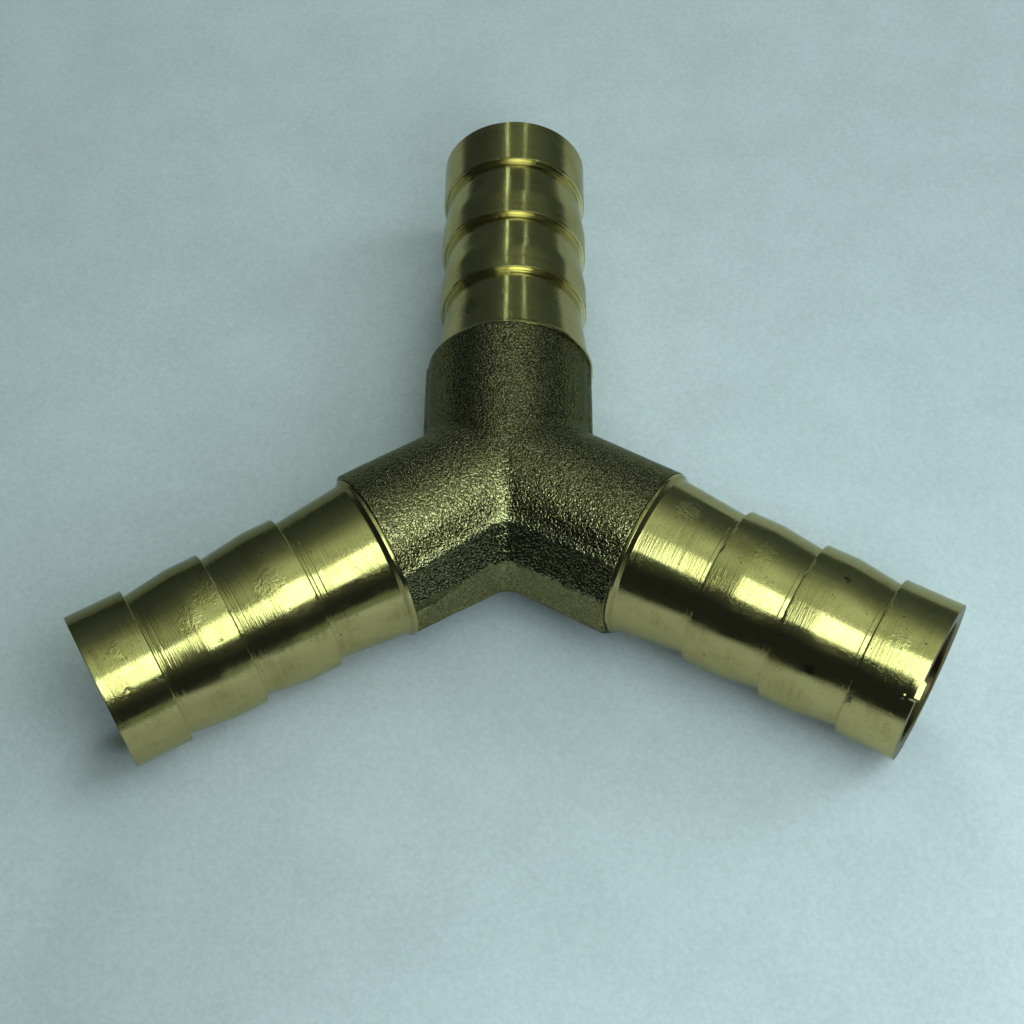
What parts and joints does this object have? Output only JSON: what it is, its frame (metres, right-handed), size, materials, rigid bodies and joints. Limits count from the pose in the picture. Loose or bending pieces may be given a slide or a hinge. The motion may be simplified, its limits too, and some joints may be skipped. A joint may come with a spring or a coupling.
{
  "type": "barbed wye hose connector",
  "caption": "Brass wye connector: barbed hose tails at equal angles round a sand-blasted forged hub, bored through to a common junction.",
  "frame": {"origin": "the point where the three bore axes meet, at the middle of the junction chamber", "axes": "+Y runs out along the rear hose tail; +Z is square to the plane of the three axes; the left and right tails point to 210 and 330 degrees"},
  "size_m": [0.0712, 0.0617, 0.0142],
  "materials": {
    "blasted_brass": "sand-blasted forging skin, matt with fine glinting grain",
    "turned_brass": "bright turned surface with circumferential tool marks and handling scratches"
  },
  "bodies": {
    "root": {"wye_body": "blasted_brass", "hose_tail_rear": "turned_brass", "hose_tail_left": "turned_brass", "hose_tail_right": "turned_brass"}
  },
  "joints": []
}
